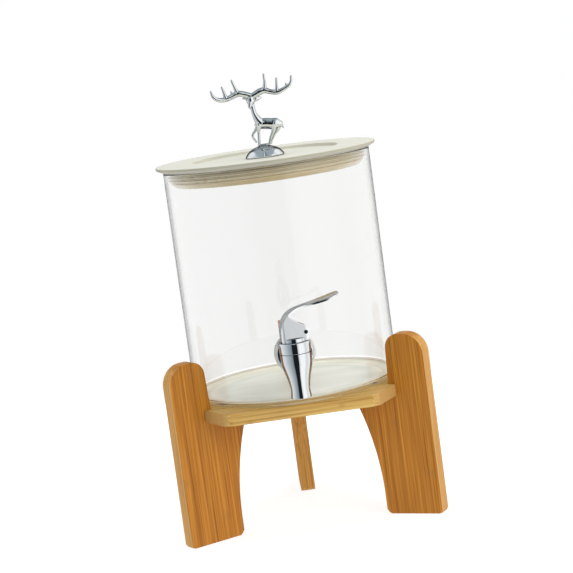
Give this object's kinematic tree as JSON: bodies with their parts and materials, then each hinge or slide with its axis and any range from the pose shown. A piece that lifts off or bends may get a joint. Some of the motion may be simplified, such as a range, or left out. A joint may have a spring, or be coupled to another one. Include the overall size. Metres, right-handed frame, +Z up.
{
  "type": "beverage dispenser",
  "caption": "Cylindrical glass drink dispenser with a push-down chrome tap and a stoppered lid with a stag knob, standing on a slotted bamboo leg stand.",
  "frame": {"origin": "on the floor, under the axis of the jar and stand", "axes": "+Z up along the jar axis; -Y towards the user, the side the tap is on; +X to the right seen from the front, the way the tap lever points"},
  "size_m": [0.2274, 0.2518, 0.3884],
  "materials": {
    "bamboo_leg": "caramel laminated bamboo, satin lacquer, grain upright",
    "bamboo_shelf": "natural laminated bamboo, satin lacquer",
    "glass": "clear, polished",
    "chrome": "mirror chrome plating",
    "silicone": "translucent milky silicone",
    "white_plastic": "moulded white plastic",
    "steel": "plain stainless",
    "cream_plastic": "glossy cream moulded plastic"
  },
  "bodies": {
    "stand": {"leg_front_left": "bamboo_leg", "leg_front_right": "bamboo_leg", "leg_back": "bamboo_leg", "shelf": "bamboo_shelf", "shelf_screw_front_left": "steel", "shelf_screw_front_right": "steel", "shelf_screw_back": "steel"},
    "jar": {"glass_jar": "glass", "tap_body": "chrome", "tap_gasket_outer": "silicone", "tap_gasket_inner": "silicone", "tap_back_washer": "white_plastic", "tap_back_nut": "white_plastic"},
    "lid": {"lid_cover": "cream_plastic", "lid_plug": "cream_plastic", "lid_seal": "silicone", "knob_base": "chrome", "knob_deer": "chrome", "knob_screw": "steel", "knob_washer": "steel"},
    "tap_head": {"tap_bonnet": "chrome", "tap_bonnet_gasket": "silicone", "tap_lever_pin": "steel", "tap_spring": "steel"},
    "lever": {"tap_lever": "chrome"},
    "valve_stem": {"tap_stem": "steel", "tap_stem_seal": "silicone"}
  },
  "joints": [
    {"name": "jar_lift", "type": "slide", "parent": "stand", "child": "jar", "axis": [0, 0, 1], "range_m": [0, 0.08]},
    {"name": "lid_lift", "type": "slide", "parent": "jar", "child": "lid", "axis": [0, 0, 1], "range_m": [0, 0.06]},
    {"name": "head_turn", "type": "hinge", "parent": "jar", "child": "tap_head", "pos_m": [0, -0.111, 0.1679], "axis": [0, 0, 1], "range_deg": [-180, 0]},
    {"name": "lever_press", "type": "hinge", "parent": "tap_head", "child": "lever", "pos_m": [0.00961, -0.10965, 0.1798], "axis": [-0.1392, 0.9903, 0], "range_deg": [0, 25], "stiffness_Nm_per_rad": 0.6, "springref_deg": -8.59},
    {"name": "stem_rise", "type": "slide", "parent": "tap_head", "child": "valve_stem", "axis": [0, 0, 1], "range_m": [0, 0.005], "deforming": ["tap_spring"]}
  ],
  "couplings": [
    {"joint": "stem_rise", "follows": "lever_press", "m_per_rad": 0.011}
  ]
}
